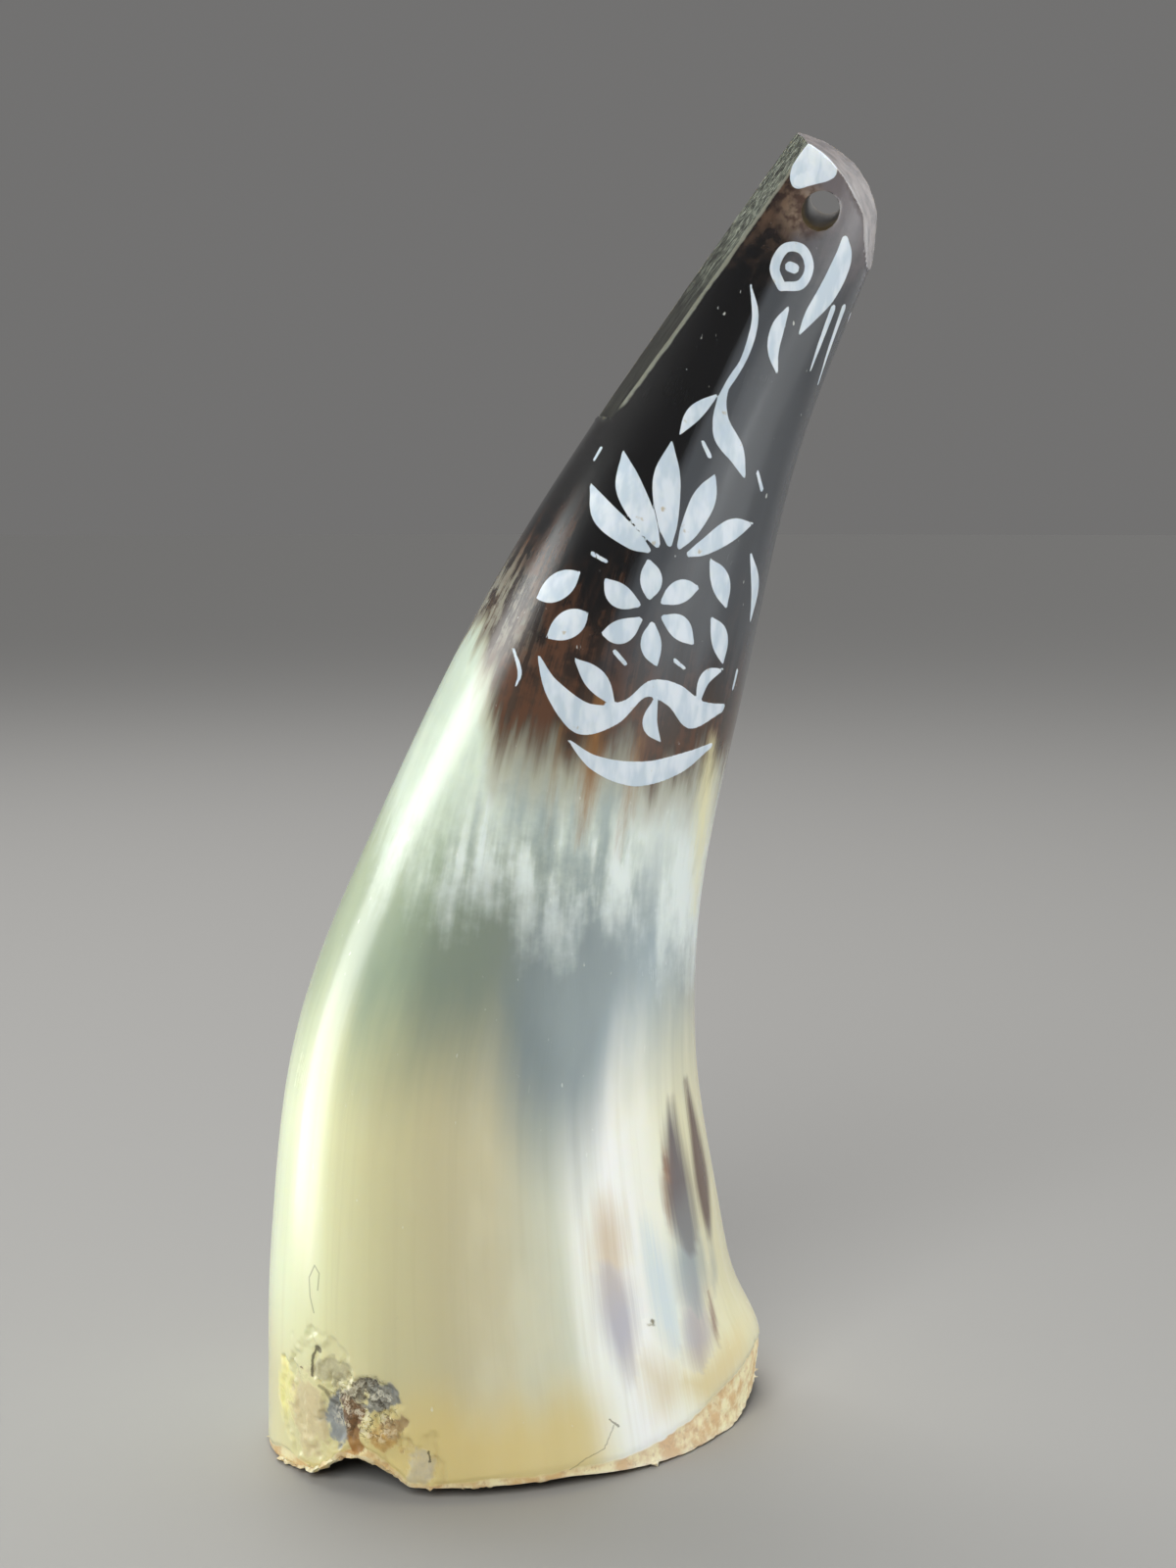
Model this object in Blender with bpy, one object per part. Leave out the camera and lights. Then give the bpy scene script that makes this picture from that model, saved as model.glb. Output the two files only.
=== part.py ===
"""Cattle horn ornament, standing on its sawn end.

One piece of horn: hollow below, solid above, with its tip flattened on one side, rounded on the other
and drilled through for a cord. Metres, +Z up, the front faces -Y, origin at the middle of the underside.
"""
import math

import bmesh
import bpy
import numpy as np
from mathutils import Matrix, Vector

MM = 0.001

# Overall sizes
HEIGHT = 160 * MM
BASE_WIDTH = 63 * MM
BASE_DEPTH = 59 * MM

# Hollow below: the wall at the sawn end, how far up the hollow reaches, and how late it closes
RIM_WALL = 2.2 * MM
CAVITY_DEPTH = 88 * MM
CAVITY_FULLNESS = 3

# Cord hole: its drill, its place below the tip and to the right of the middle, and how its far end
# tilts up and to the right
HOLE_DIAMETER = 4.2 * MM
HOLE_BELOW_TIP = 8.6 * MM
HOLE_OFFSET = 1 * MM
HOLE_RISE = math.radians(14)
HOLE_SWING = math.radians(9)

# The tip's place to the left of the middle, as a share of the half width there. The flat sawn side at
# the back of the head comes down from it: its lean from upright, and its turn to the front
TIP_OFFSET = 0.76
FACET_LEAN = math.radians(35.8)
FACET_TURN = math.radians(11)

# Rounded end: the shares of the height where its upright edge starts and ends, its curve's rise over
# the chord, and how far its surface slants outwards from front to back
CROWN_FOOT = 0.926
CROWN_CORNER = 0.936
CROWN_RISE = 2 * MM
CROWN_SLANT = 0.3

# Sawn end: it stands off the table in front and at the right lip, a chip is broken out at front left,
# and the outer layers have flaked off above the chip
FRONT_LIFT = 1.4 * MM
LIP_LIFT = 1.8 * MM
CHIP_HEIGHT = 4.2 * MM
FLAKE_DEPTH = 1.2 * MM
FLAKE_HEIGHT = 14 * MM
# The right lip flares outwards a little way above the table
LIP_FLARE = 2.2 * MM
LIP_FLARE_HEIGHT = 8.5 * MM
LIP_FLARE_SPREAD = 5.5 * MM

# Middle and reach round the horn in degrees, 0 at the right and -90 in front
FRONT_ARC = (-106, 64)
LIP_ARC = (4, 34)
CHIP_ARC = (-126, 22)
FLAKE_ARC = (-140, 34)
FLARE_ARC = (-5, 45)
# How flat-topped the lifts are: a plain swell is 1
LIFT_BREADTH = 1.8

# Soft ridge down the front of the upper half: its height as a share of the depth, and its arc
RIDGE = 0.14
RIDGE_ARC = (-98, 75)
RIDGE_START = 0.35
RIDGE_FULL = 0.62

# The form, from the sawn end to past the tip. Each row gives, at a share of the height, the middle's
# place to the right and to the back as shares of the height, the section's tilt in degrees, its width
# as a share of the base's, its depth as a share of its width against the base's, and its turn in degrees.
FORM = np.array([
    (0.0000, 0.0010, 0.000, 0.0, 0.985, 1.01, 15.0),
    (0.1600, -0.0125, -0.008, 0.0, 0.895, 1.00, 12.0),
    (0.3125, -0.0106, -0.019, 7.0, 0.787, 0.98, 10.0),
    (0.4375, 0.0180, -0.025, 16.5, 0.667, 0.97, 8.0),
    (0.6250, 0.0820, -0.025, 21.8, 0.527, 0.95, 5.0),
    (0.8125, 0.1620, -0.025, 27.0, 0.352, 0.92, 0.0),
    (0.9375, 0.2240, -0.025, 27.0, 0.290, 0.80, 0.0),
    (1.0800, 0.2950, -0.025, 27.0, 0.240, 0.55, 0.0),
])

# Fineness of the mesh
SIDES = 64
RINGS = 40
CAVITY_RINGS = 18
DRILL_SIDES = 40
CROWN_STEPS = 10
# How far the cutters run past the horn, and the crown's cutter past its foot
CLEARANCE = 20 * MM
CROWN_RUN_OUT = 5 * MM


def along(share):
    """The form's values at a share of the height, on a smooth curve through its rows."""
    heights, values = FORM[:, 0], FORM[:, 1:]
    slopes = np.gradient(values, heights, axis=0)
    row = int(np.clip(np.searchsorted(heights, share) - 1, 0, len(heights) - 2))
    span = heights[row + 1] - heights[row]
    s = (share - heights[row]) / span
    return ((1 + 2 * s) * (1 - s) ** 2 * values[row] + s * (1 - s) ** 2 * span * slopes[row]
            + s * s * (3 - 2 * s) * values[row + 1] + s * s * (s - 1) * span * slopes[row + 1])


def swell(angle, arc):
    """A smooth swelling round the horn, 1 at the arc's middle and 0 past its reach."""
    middle, reach = arc
    away = abs((math.degrees(angle) - middle + 180) % 360 - 180)
    return 0.5 + 0.5 * math.cos(math.pi * away / reach) if away < reach else 0.0


def ease(value, start, end):
    """A smooth step from 0 at start to 1 at end."""
    s = min(max((value - start) / (end - start), 0.0), 1.0)
    return s * s * (3 - 2 * s)


def rim_height(angle):
    """How far the sawn end stands off the table."""
    front = FRONT_LIFT * min(LIFT_BREADTH * swell(angle, FRONT_ARC), 1)
    lip = LIP_LIFT * min(LIFT_BREADTH * swell(angle, LIP_ARC), 1)
    return max(front, lip, CHIP_HEIGHT * swell(angle, CHIP_ARC))


def section_point(share, angle, wall=0.0, fullness=1.0):
    """A point of the horn's surface, or of the hollow where a wall is taken off and it closes to its end."""
    right, back, tilt, width, depth, turn = along(share)
    half_width = BASE_WIDTH / 2 * width
    half_depth = BASE_DEPTH / 2 * width * depth
    height = share * HEIGHT
    flare = LIP_FLARE * math.exp(-((height - LIP_FLARE_HEIGHT) / LIP_FLARE_SPREAD) ** 2)
    ridge = RIDGE * ease(share, RIDGE_START, RIDGE_FULL) * swell(angle, RIDGE_ARC)
    flaked = 0 if wall else FLAKE_DEPTH * swell(angle, FLAKE_ARC) * (1 - ease(height, 0, FLAKE_HEIGHT))
    out = (half_width - wall - flaked) * fullness * math.cos(angle) + flare * swell(angle, FLARE_ARC)
    deep = (half_depth - wall - flaked) * fullness * math.sin(angle + math.radians(turn)) * (1 + ridge)
    tilt = math.radians(tilt)
    return Vector((right * HEIGHT + out * math.cos(tilt), back * HEIGHT + deep, height - out * math.sin(tilt)))


def loft(name, rings, start, end):
    """A closed solid through rings of points, each end closed by a fan to its own middle point."""
    mesh = bmesh.new()
    loops = [[mesh.verts.new(point) for point in ring] for ring in rings]
    count = len(loops[0])
    for lower, upper in zip(loops, loops[1:]):
        for i in range(count):
            j = (i + 1) % count
            mesh.faces.new((lower[i], lower[j], upper[j], upper[i]))
    foot, top = mesh.verts.new(start), mesh.verts.new(end)
    for i in range(count):
        j = (i + 1) % count
        mesh.faces.new((foot, loops[0][j], loops[0][i]))
        mesh.faces.new((top, loops[-1][i], loops[-1][j]))
    return solid_object(name, mesh)


def solid_object(name, mesh):
    """An object with the mesh's faces turned outwards."""
    bmesh.ops.recalc_face_normals(mesh, faces=mesh.faces)
    data = bpy.data.meshes.new(name)
    mesh.to_mesh(data)
    mesh.free()
    return bpy.data.objects.new(name, data)


def angles():
    return [2 * math.pi * i / SIDES for i in range(SIDES)]


def horn_body():
    """The outside of the horn, from its uneven sawn end to past the tip."""
    top_share = FORM[-1, 0]
    rings = []
    for i in range(RINGS + 1):
        ring = []
        for angle in angles():
            start = rim_height(angle) / HEIGHT
            ring.append(section_point(start + (top_share - start) * i / RINGS, angle))
        rings.append(ring)
    right, back = along(0)[:2]
    end_right, end_back = along(top_share)[:2]
    foot = Vector((right * HEIGHT, back * HEIGHT, 0))
    top = Vector((end_right * HEIGHT, end_back * HEIGHT, top_share * HEIGHT))
    return loft("horn", rings, foot, top)


def cavity():
    """The hollow as a solid to cut away: it runs out below the table and closes in a dome above."""
    below = Vector((0, 0, CLEARANCE))
    rings = [[section_point(0, angle, RIM_WALL) - below for angle in angles()]]
    for i in range(CAVITY_RINGS):
        level = math.sin(math.pi / 2 * i / CAVITY_RINGS)
        fullness = math.sqrt(1 - level ** CAVITY_FULLNESS)
        share = level * CAVITY_DEPTH / HEIGHT
        rings.append([section_point(share, angle, RIM_WALL, fullness) for angle in angles()])
    right, back = along(CAVITY_DEPTH / HEIGHT)[:2]
    top = Vector((right * HEIGHT, back * HEIGHT, CAVITY_DEPTH))
    base_right, base_back = along(0)[:2]
    foot = Vector((base_right * HEIGHT, base_back * HEIGHT, 0)) - below
    return loft("cavity cutter", rings, foot, top)


def tip():
    """The highest point, on the horn's far side at the full height."""
    right, back, tilt, width, depth, turn = along(1)
    left = BASE_WIDTH / 2 * width * TIP_OFFSET
    far = BASE_DEPTH / 2 * width * depth * math.sqrt(1 - TIP_OFFSET ** 2)
    return Vector((right * HEIGHT - left, back * HEIGHT + far, HEIGHT))


def facet_cutter():
    """A block whose underside lies along the flat sawn side of the head, and goes through the tip."""
    outward = Vector((-math.cos(FACET_LEAN) * math.cos(FACET_TURN), -math.sin(FACET_TURN),
                      math.sin(FACET_LEAN) * math.cos(FACET_TURN)))
    mesh = bmesh.new()
    bmesh.ops.create_cube(mesh, size=HEIGHT)
    block = solid_object("facet cutter", mesh)
    block.matrix_world = (Matrix.Translation(tip() + outward * HEIGHT / 2)
                          @ outward.to_track_quat("Z", "Y").to_matrix().to_4x4())
    return block


def crown_cutter():
    """What lies outside the rounded end: its outline from the front, swept along its slant to the back."""
    slant = Vector((CROWN_SLANT, 1, CROWN_SLANT / 2))

    def seen_along_slant(point):
        return point - slant * point.y

    top = seen_along_slant(tip())
    side = section_point(CROWN_FOOT, 0)
    foot = seen_along_slant(side)
    corner = seen_along_slant(Vector((side.x, side.y, CROWN_CORNER * HEIGHT)))
    chord = corner - top
    outward = Vector((-chord.z, 0, chord.x)).normalized()
    outline = [foot - Vector((0, 0, CROWN_RUN_OUT))]
    for i in range(CROWN_STEPS + 1):
        s = i / CROWN_STEPS
        outline.append(corner - chord * s + outward * CROWN_RISE * 4 * s * (1 - s))
    roof = HEIGHT + CLEARANCE
    outline += [Vector((top.x - CLEARANCE, 0, top.z)), Vector((top.x - CLEARANCE, 0, roof)),
                Vector((foot.x + CLEARANCE, 0, roof)), Vector((foot.x + CLEARANCE, 0, outline[0].z))]
    mesh = bmesh.new()
    face = mesh.faces.new([mesh.verts.new(point - slant * CLEARANCE) for point in outline])
    swept = bmesh.ops.extrude_face_region(mesh, geom=[face])
    moved = [item for item in swept["geom"] if isinstance(item, bmesh.types.BMVert)]
    bmesh.ops.translate(mesh, verts=moved, vec=2 * slant * CLEARANCE)
    return solid_object("crown cutter", mesh)


def hole_cutter():
    """The drill, straight through the head."""
    share = 1 - HOLE_BELOW_TIP / HEIGHT
    right, back = along(share)[:2]
    middle = Vector((right * HEIGHT + HOLE_OFFSET, back * HEIGHT, share * HEIGHT))
    backwards = Vector((math.sin(HOLE_SWING) * math.cos(HOLE_RISE), math.cos(HOLE_SWING) * math.cos(HOLE_RISE),
                        math.sin(HOLE_RISE)))
    mesh = bmesh.new()
    bmesh.ops.create_cone(mesh, cap_ends=True, segments=DRILL_SIDES, radius1=HOLE_DIAMETER / 2,
                          radius2=HOLE_DIAMETER / 2, depth=2 * CLEARANCE)
    drill = solid_object("hole cutter", mesh)
    drill.matrix_world = Matrix.Translation(middle) @ backwards.to_track_quat("Z", "Y").to_matrix().to_4x4()
    return drill


def horn_material():
    """Polished horn, pale below and black-brown above, in one plain tone."""
    material = bpy.data.materials.new("polished horn")
    material.use_nodes = True
    shader = material.node_tree.nodes["Principled BSDF"]
    shader.inputs["Base Color"].default_value = (0.55, 0.47, 0.33, 1)
    shader.inputs["Roughness"].default_value = 0.25
    shader.inputs["Metallic"].default_value = 0.0
    return material


def new_collection(name):
    collection = bpy.data.collections.new(name)
    bpy.context.scene.collection.children.link(collection)
    return collection


def centre_on_underside(horn, others):
    """Move everything so that the finished horn's box has the middle of its underside at the origin."""
    bpy.context.view_layer.update()
    finished = horn.evaluated_get(bpy.context.evaluated_depsgraph_get())
    corners = np.array([tuple(vertex.co) for vertex in finished.data.vertices])
    low, high = corners.min(axis=0), corners.max(axis=0)
    shift = Matrix.Translation(Vector(((low[0] + high[0]) / -2, (low[1] + high[1]) / -2, -low[2])))
    for item in [horn] + others:
        item.matrix_world = shift @ item.matrix_world


def build():
    for item in list(bpy.data.objects):
        bpy.data.objects.remove(item)
    pieces = new_collection("horn ornament")
    tools = new_collection("cutters")
    horn = horn_body()
    pieces.objects.link(horn)
    cutters = [cavity(), facet_cutter(), crown_cutter(), hole_cutter()]
    for cutter in cutters:
        tools.objects.link(cutter)
        cutter.hide_render = True
        cutter.display_type = "WIRE"
        cut = horn.modifiers.new(cutter.name, "BOOLEAN")
        cut.operation = "DIFFERENCE"
        cut.solver = "EXACT"
        cut.object = cutter
    horn.data.shade_smooth()
    horn.data.set_sharp_from_angle(angle=math.radians(35))
    horn.data.materials.append(horn_material())
    centre_on_underside(horn, cutters)


build()
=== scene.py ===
"""A painted cattle-horn ornament on a plain pale floor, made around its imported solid.

Metres, +Z up, the front faces -Y. Lengths that are easier to read in millimetres carry * MM.
"""
import math

import bpy
import numpy as np
from mathutils import Matrix, Vector, noise
from mathutils.bvhtree import BVHTree


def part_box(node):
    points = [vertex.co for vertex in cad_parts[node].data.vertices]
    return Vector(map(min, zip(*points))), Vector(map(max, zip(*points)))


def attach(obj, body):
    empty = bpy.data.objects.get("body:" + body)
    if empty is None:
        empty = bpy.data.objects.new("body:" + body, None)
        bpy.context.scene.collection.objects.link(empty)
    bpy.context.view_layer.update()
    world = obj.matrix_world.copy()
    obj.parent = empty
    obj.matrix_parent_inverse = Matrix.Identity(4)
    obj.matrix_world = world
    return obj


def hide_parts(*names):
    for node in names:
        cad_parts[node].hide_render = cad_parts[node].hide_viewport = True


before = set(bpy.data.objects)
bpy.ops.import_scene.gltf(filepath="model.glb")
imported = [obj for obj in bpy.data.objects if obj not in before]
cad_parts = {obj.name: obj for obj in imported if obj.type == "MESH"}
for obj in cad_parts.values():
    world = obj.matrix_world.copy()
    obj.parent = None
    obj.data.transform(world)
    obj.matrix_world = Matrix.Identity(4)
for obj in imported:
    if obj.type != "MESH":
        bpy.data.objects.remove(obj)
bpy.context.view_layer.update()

MM = 0.001

# Camera: close by, a little above the middle of the horn and looking slightly down.
CAMERA_PLACE = (2.5 * MM, -291.5 * MM, 115.4 * MM)
CAMERA_DIP = 6.77
bpy.ops.object.select_all(action="DESELECT")
bpy.ops.object.camera_add(location=CAMERA_PLACE, rotation=(math.radians(90 - CAMERA_DIP), 0, 0))
camera = bpy.context.object
camera.data.lens = 54
camera.data.sensor_width = 36
camera.data.clip_start = 10 * MM
bpy.context.scene.camera = camera


# Horn: one piece of cattle horn, hollow below and solid above. A straight round blank is drawn up
# first, outside wall, sawn end and hollow, and then every point goes to its place on the grown horn.
HEIGHT = 160 * MM
BASE_WIDTH = 63 * MM
BASE_DEPTH = 59 * MM
RIM_WALL = 2.2 * MM
CAVITY_DEPTH = 88 * MM
CAVITY_FULLNESS = 3
CAVITY_RINGS = 26
SIDES = 160
BLANK_RADIUS = BASE_WIDTH / 2
WALL_SHARE = RIM_WALL / BLANK_RADIUS
# Shares of the blank's radius past which a point, or a face's middle, is of the outside or the rim
OUTSIDE = 0.99
SKIN_FACE = 0.985
RIM_FACE = 0.935
CHIPPED = 18 * MM
HAIR = MM / 100
# Where each stretch of the blank ends, and the cuts across it: finer where it is chipped or painted
STRETCHES = ((CHIPPED, 17), (76 * MM, 47), (124 * MM, 66), (1.08 * HEIGHT, 60))
RIM_CUTS = 3
KINDS = ("vertices", "edges", "polygons")


def new_piece(name, add, **sizes):
    """Add a primitive at the origin, selected alone, under a name."""
    bpy.ops.object.select_all(action="DESELECT")
    add(location=(0, 0, 0), **sizes)
    piece = bpy.context.object
    piece.name = piece.data.name = name
    return piece


def read(items, name, width=1, kind=float):
    """What a mesh's vertices, edges, faces or corners hold under a name."""
    values = np.empty(len(items) * width, dtype=kind)
    items.foreach_get(name, values)
    return values.reshape(-1, width) if width > 1 else values


def coordinates(mesh):
    return read(mesh.vertices, "co", 3)


def put_back(mesh, places):
    mesh.vertices.foreach_set("co", places.ravel())
    mesh.update()


def edit_all():
    bpy.ops.object.mode_set(mode="EDIT")
    bpy.ops.mesh.select_all(action="SELECT")


def leave_edit():
    bpy.ops.object.mode_set(mode="OBJECT")


def choose(piece, kind, wanted=True):
    """Select these vertices, edges or polygons of a piece, or all of them, and go to edit mode."""
    leave_edit()
    for part in KINDS:
        items = getattr(piece.data, part)
        chosen = np.zeros(len(items), dtype=bool)
        if part == kind:
            chosen[:] = wanted
        items.foreach_set("select", chosen)
    bpy.context.tool_settings.mesh_select_mode = tuple(part == kind for part in KINDS)
    bpy.ops.object.mode_set(mode="EDIT")


def draw_up(rise, size=1.0):
    bpy.ops.mesh.extrude_region_move(TRANSFORM_OT_translate={"value": (0, 0, rise)})
    if size != 1.0:
        bpy.ops.transform.resize(value=(size, size, 1), center_override=(0, 0, 0))


horn = new_piece("painted_horn", bpy.ops.mesh.primitive_circle_add, vertices=SIDES, radius=BLANK_RADIUS)
edit_all()
reached = 0.0
for end, cuts in STRETCHES:
    draw_up(end - reached)
    reached = end
bpy.ops.mesh.extrude_region_move()
bpy.ops.mesh.merge(type="CENTER")
leave_edit()
choose(horn, "vertices", coordinates(horn.data)[:, 2] < HAIR)
draw_up(0, 1 - WALL_SHARE)
level, fullness = 0.0, 1.0
for ring in range(1, CAVITY_RINGS):
    next_level = math.sin(math.pi / 2 * ring / CAVITY_RINGS)
    next_fullness = math.sqrt(1 - next_level ** CAVITY_FULLNESS)
    draw_up((next_level - level) * CAVITY_DEPTH, next_fullness / fullness)
    level, fullness = next_level, next_fullness
bpy.ops.mesh.extrude_region_move(TRANSFORM_OT_translate={"value": (0, 0, (1 - level) * CAVITY_DEPTH)})
bpy.ops.mesh.merge(type="CENTER")


def edges_of(mesh):
    places, ends = coordinates(mesh), read(mesh.edges, "vertices", 2, np.int32)
    return places[ends[:, 0]], places[ends[:, 1]]


def cut_across(chosen_edges, cuts):
    choose(horn, "edges", chosen_edges)
    bpy.ops.mesh.subdivide(number_cuts=cuts)
    leave_edit()


leave_edit()
reached = 0.0
for end, cuts in STRETCHES:
    one, two = edges_of(horn.data)
    outside = np.minimum(np.hypot(*one.T[:2]), np.hypot(*two.T[:2])) > OUTSIDE * BLANK_RADIUS
    spans = abs(abs(one[:, 2] - two[:, 2]) - (end - reached)) < HAIR
    starts = abs(np.minimum(one[:, 2], two[:, 2]) - reached) < HAIR
    cut_across(outside & spans & starts, cuts)
    reached = end
one, two = edges_of(horn.data)
across = abs(np.hypot(*one.T[:2]) - np.hypot(*two.T[:2])) > 0.9 * RIM_WALL
cut_across(across & (np.maximum(one[:, 2], two[:, 2]) < HAIR), RIM_CUTS)


def refine(low, high, first_degree, last_degree, least_radius):
    """Split the faces of the blank between two heights and two directions once more."""
    x, y, z = read(horn.data.polygons, "center", 3).T
    degrees = np.degrees(np.arctan2(y, x))
    inside = (z > low - HAIR) & (z < high) & (degrees > first_degree) & (degrees < last_degree)
    choose(horn, "polygons", inside & (np.hypot(x, y) > least_radius * BLANK_RADIUS))
    bpy.ops.mesh.subdivide(number_cuts=1)
    leave_edit()


# Which face is which, so that each keeps its own finish after the cuts
PARTS = ("skin", "sawn_end", "hollow", "sawn_side", "filed_end", "bore")
for part in PARTS:
    horn.data.materials.append(bpy.data.materials.new(part))
middles = read(horn.data.polygons, "center", 3)
middle_radius = np.hypot(*middles.T[:2]) / BLANK_RADIUS
part_of_face = np.where(middle_radius > SKIN_FACE, 0, np.where(middles[:, 2] < HAIR, 1, 2))
part_of_face[middles[:, 2] > CAVITY_DEPTH] = 0
horn.data.polygons.foreach_set("material_index", part_of_face.astype(np.int32))

refine(0, CHIPPED, -181, 181, RIM_FACE)
refine(0, CHIPPED, -176, -92, RIM_FACE)
refine(80 * MM, 166 * MM, -172, 10, SKIN_FACE)

# The form: at each share of the height, the middle's place to the right and to the back as shares of
# the height, the section's tilt in degrees, its width as a share of the base's, its depth against the
# base's as a share of that, and its turn in degrees.
FORM = np.array([
    (0.0000, 0.0010, 0.000, 0.0, 0.985, 1.01, 15.0),
    (0.1600, -0.0125, -0.008, 0.0, 0.895, 1.00, 12.0),
    (0.3125, -0.0106, -0.019, 7.0, 0.787, 0.98, 10.0),
    (0.4375, 0.0180, -0.025, 16.5, 0.667, 0.97, 8.0),
    (0.6250, 0.0820, -0.025, 21.8, 0.527, 0.95, 5.0),
    (0.8125, 0.1620, -0.025, 27.0, 0.352, 0.92, 0.0),
    (0.9375, 0.2240, -0.025, 27.0, 0.290, 0.80, 0.0),
    (1.0800, 0.2950, -0.025, 27.0, 0.240, 0.55, 0.0),
])
FRONT_LIFT = 1.4 * MM
LIP_LIFT = 1.8 * MM
CHIP_HEIGHT = 4.2 * MM
FLAKE_DEPTH = 1.2 * MM
FLAKE_HEIGHT = 14 * MM
LIP_FLARE = 2.2 * MM
LIP_FLARE_HEIGHT = 8.5 * MM
LIP_FLARE_SPREAD = 5.5 * MM
FRONT_ARC = (-106, 64)
LIP_ARC = (4, 34)
CHIP_ARC = (-126, 22)
FLAKE_ARC = (-140, 34)
FLARE_ARC = (-5, 45)
LIFT_BREADTH = 1.8
RIDGE = 0.14
RIDGE_ARC = (-98, 75)
RIDGE_START = 0.35
RIDGE_FULL = 0.62


def along(share):
    """The form's columns at shares of the height, on a smooth curve through its rows."""
    heights, values = FORM[:, 0], FORM[:, 1:]
    slopes = np.gradient(values, heights, axis=0)
    row = np.clip(np.searchsorted(heights, share) - 1, 0, len(heights) - 2)
    span = (heights[row + 1] - heights[row])[:, None]
    s = (np.asarray(share) - heights[row])[:, None] / span
    return ((1 + 2 * s) * (1 - s) ** 2 * values[row] + s * (1 - s) ** 2 * span * slopes[row]
            + s * s * (3 - 2 * s) * values[row + 1] + s * s * (s - 1) * span * slopes[row + 1]).T


def swell(degrees, arc):
    middle, reach = arc
    away = abs((degrees - middle + 180) % 360 - 180)
    return np.where(away < reach, 0.5 + 0.5 * np.cos(np.pi * away / reach), 0.0)


def ease(value, start, end):
    s = np.clip((value - start) / (end - start), 0, 1)
    return s * s * (3 - 2 * s)


def rough(points, scale, offset=0.0):
    """Smooth noise from about -1 to 1 at points, scaled per axis."""
    return np.array([noise.noise(Vector(place)) for place in np.asarray(points) * scale + offset])


def rim_height(degrees):
    front = FRONT_LIFT * np.minimum(LIFT_BREADTH * swell(degrees, FRONT_ARC), 1)
    lip = LIP_LIFT * np.minimum(LIFT_BREADTH * swell(degrees, LIP_ARC), 1)
    return np.maximum(np.maximum(front, lip), CHIP_HEIGHT * swell(degrees, CHIP_ARC))


def nicks(degrees, radius):
    """How far small breaks go up from the sawn edge, all round it and through its wall."""
    turn = np.radians(degrees)
    ring = np.stack([np.cos(turn), np.sin(turn), radius], axis=1)
    coarse = rough(ring, (7, 7, 6), 3.1)
    fine = rough(ring, (38, 38, 22), 11.7)
    crumbled = 0.25 + swell(degrees, (2, 30)) + 0.9 * swell(degrees, (-134, 40))
    return MM * np.clip(0.30 * (coarse - 0.05) + 0.26 * fine * crumbled + 0.22 * (crumbled - 0.25), 0, 1.1)


def bend(blank):
    """Take points of the straight blank to their places on the grown horn."""
    x, y, z = blank.T
    radius = np.hypot(x, y) / BLANK_RADIUS
    angle = np.arctan2(y, x)
    degrees = np.degrees(angle)
    outer = radius > OUTSIDE
    wall = RIM_WALL * np.clip((1 - radius) / WALL_SHARE, 0, 1) * ~outer
    fullness = np.where(outer, 1, np.minimum(radius / (1 - WALL_SHARE), 1))
    top = np.where(outer, FORM[-1, 0], CAVITY_DEPTH / HEIGHT)
    start = (rim_height(degrees) * np.minimum(radius, 1) + nicks(degrees, radius)) / HEIGHT
    share = start + (top - start) * z / HEIGHT / top
    right, back, tilt, width, depth, turn = along(share)
    height = share * HEIGHT
    flare = LIP_FLARE * np.exp(-((height - LIP_FLARE_HEIGHT) / LIP_FLARE_SPREAD) ** 2)
    ridge = RIDGE * ease(share, RIDGE_START, RIDGE_FULL) * swell(degrees, RIDGE_ARC)
    flaked = FLAKE_DEPTH * swell(degrees, FLAKE_ARC) * (1 - ease(height, 0, FLAKE_HEIGHT)) * outer
    out = (BASE_WIDTH / 2 * width - wall - flaked) * fullness * np.cos(angle)
    out = out + flare * swell(degrees, FLARE_ARC)
    deep = (BASE_DEPTH / 2 * width * depth - wall - flaked) * fullness
    deep = deep * np.sin(angle + np.radians(turn)) * (1 + ridge)
    tilt = np.radians(tilt)
    across = right * HEIGHT + out * np.cos(tilt)
    return np.stack([across, back * HEIGHT + deep, height - out * np.sin(tilt)], 1)


put_back(horn.data, bend(coordinates(horn.data)))
edit_all()
bpy.ops.mesh.normals_make_consistent(inside=False)
leave_edit()

# Head: solid horn, worked by hand. It is sawn flat at the back from the tip down, filed round on
# the other side, and drilled for a cord.
TIP_OFFSET = 0.76
FACET_LEAN = math.radians(35.8)
FACET_TURN = math.radians(11)
FACET_SIZE = (44 * MM, 84 * MM)
FACET_STEP = 0.42 * MM
CROWN_FOOT = 0.926
CROWN_CORNER = 0.936
CROWN_RISE = 2 * MM
CROWN_SLANT = 0.3
CROWN_CUTS = 33
FILE_CUTS = 72
SAW_GROOVE_MM = 0.10
SAW_TEAR_MM = 0.30
FILE_SCRAPE_MM = 0.16
LEAST_CUT_MM = 0.02
CLEARANCE = 20 * MM
HOLE_DIAMETER = 4.2 * MM
HOLE_SIDES = 56
HOLE_WEAR = 0.18 * MM
HOLE_BELOW_TIP = 8.6 * MM
HOLE_OFFSET = 1 * MM
HOLE_RISE = math.radians(14)
HOLE_SWING = math.radians(9)


def on_horn(share, degrees):
    """A point of the outside from its share of the height and its direction."""
    right, back, tilt, width, depth, turn = along(np.array([share]))[:, 0]
    out = BASE_WIDTH / 2 * width * math.cos(math.radians(degrees))
    deep = BASE_DEPTH / 2 * width * depth * math.sin(math.radians(degrees + turn))
    tilt = math.radians(tilt)
    return Vector((right * HEIGHT + out * math.cos(tilt), back * HEIGHT + deep,
                   share * HEIGHT - out * math.sin(tilt)))


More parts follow.
